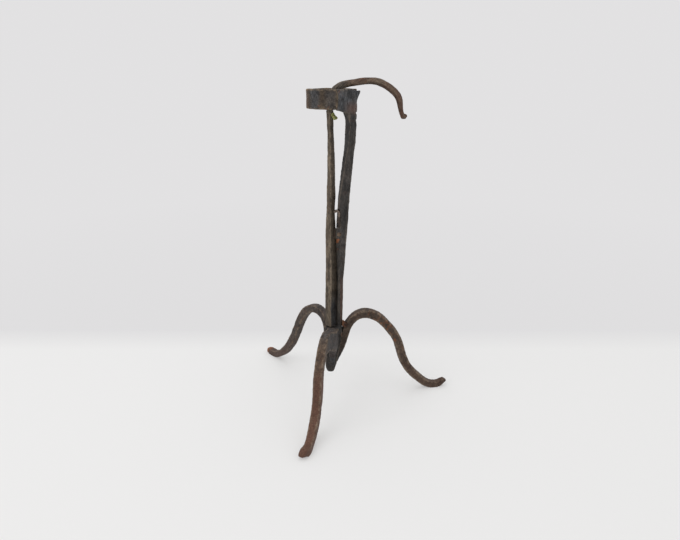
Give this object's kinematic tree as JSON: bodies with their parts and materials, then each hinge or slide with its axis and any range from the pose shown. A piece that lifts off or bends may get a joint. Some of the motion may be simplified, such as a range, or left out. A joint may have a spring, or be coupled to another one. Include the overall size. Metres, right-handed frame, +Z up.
{
  "type": "spring-grip candle stand",
  "caption": "Hand-forged iron candle stand: bowed tripod legs, a two-bar stem and a sprung lever with a thumb hook that grips the candle in a strap collar.",
  "frame": {"origin": "middle of the floor area that the stand covers, on the floor", "axes": "+Z up; the two bars and the thumb hook lie in the X-Z plane with the hook towards +X; the front leg comes forward to -Y"},
  "size_m": [0.1608, 0.1608, 0.2474],
  "materials": {
    "grey_iron": "forged wrought iron, blue-grey to black patina, hammered",
    "brown_iron": "forged wrought iron, warm brown patina, hammered, worn edges",
    "leg_iron": "forged wrought iron, dark brown and reddish patina, hammered",
    "spring_iron": "thin hammered spring strip, dull brown-grey",
    "rusty_rivet": "orange rust over dark iron",
    "tallow": "old yellow-green tallow"
  },
  "bodies": {
    "stand": {"post": "grey_iron", "collar_strap": "brown_iron", "pivot_rivet": "rusty_rivet", "leaf_spring": "spring_iron", "spring_rivet": "rusty_rivet", "leg_front": "leg_iron", "leg_left": "leg_iron", "leg_right": "leg_iron", "leg_rivet": "rusty_rivet"},
    "gripper": {"lever": "brown_iron", "tallow_drip": "tallow"}
  },
  "joints": [
    {"name": "lever_pivot", "type": "hinge", "parent": "stand", "child": "gripper", "pos_m": [-0.01076, 0.00243, 0.1382], "axis": [0, 1, 0], "range_deg": [0, 3.5], "stiffness_Nm_per_rad": 5.7, "springref_deg": -2.52, "deforming": ["leaf_spring"]}
  ]
}
